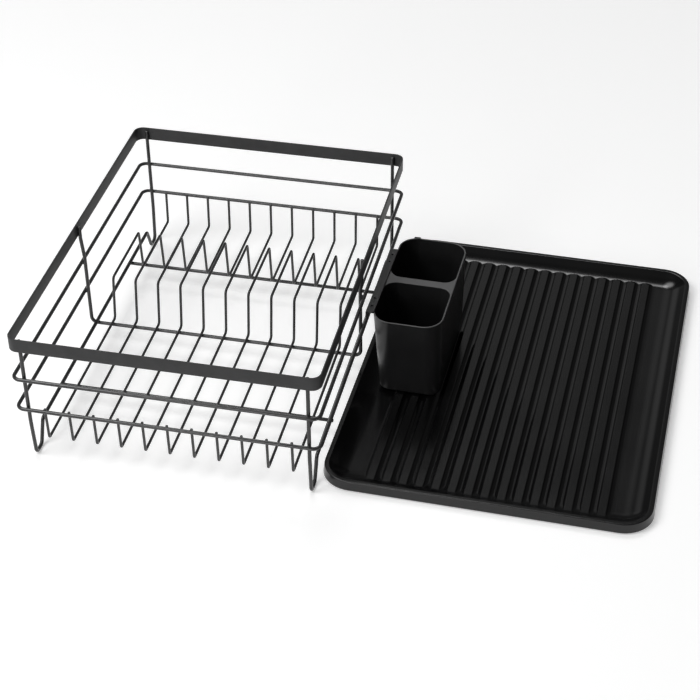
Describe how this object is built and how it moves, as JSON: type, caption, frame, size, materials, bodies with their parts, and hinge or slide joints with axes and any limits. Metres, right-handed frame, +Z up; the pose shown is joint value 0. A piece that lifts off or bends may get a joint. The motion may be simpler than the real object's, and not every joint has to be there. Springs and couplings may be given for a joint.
{
  "type": "dish drainer",
  "caption": "Dark wire dish rack with a flat rim band, rings and raised plate wires, beside a ribbed drip tray carrying a two-pocket cutlery holder with a hook flange.",
  "frame": {"origin": "Middle of the whole object's box, at the surface that it stands on", "axes": "+X runs from the rack towards the drip tray, +Y from the front to the back, where the raised plate wires are, and +Z up"},
  "size_m": [0.637, 0.4564, 0.148],
  "materials": {
    "coated_wire": "Dark grey powder coat over welded steel wire and strip, fine grain, low sheen",
    "tray_plastic": "Near-black moulded plastic with a soft satin sheen",
    "holder_plastic": "Near-black moulded plastic with a soft satin sheen"
  },
  "bodies": {
    "rack": {"rim_band": "coated_wire", "upper_ring_wire": "coated_wire", "lower_ring_wire": "coated_wire", "left_runner_frame": "coated_wire", "right_runner_frame": "coated_wire", "front_cross_wire": "coated_wire", "middle_cross_frame": "coated_wire", "back_cross_wire": "coated_wire", "dish_wire_01": "coated_wire", "dish_wire_02": "coated_wire", "dish_wire_03": "coated_wire", "dish_wire_04": "coated_wire", "dish_wire_05": "coated_wire", "dish_wire_06": "coated_wire", "dish_wire_07": "coated_wire", "dish_wire_08": "coated_wire", "dish_wire_09": "coated_wire", "dish_wire_10": "coated_wire", "dish_wire_11": "coated_wire"},
    "tray": {"drip_tray": "tray_plastic"},
    "holder": {"front_pocket": "holder_plastic", "back_pocket": "holder_plastic", "hook_flange": "holder_plastic"}
  },
  "joints": [
    {"name": "tray_slide", "type": "slide", "parent": "rack", "child": "tray", "axis": [1, 0, 0], "range_m": [0, 0.12]},
    {"name": "holder_lift", "type": "slide", "parent": "tray", "child": "holder", "axis": [0, 0, 1], "range_m": [0, 0.12]}
  ]
}
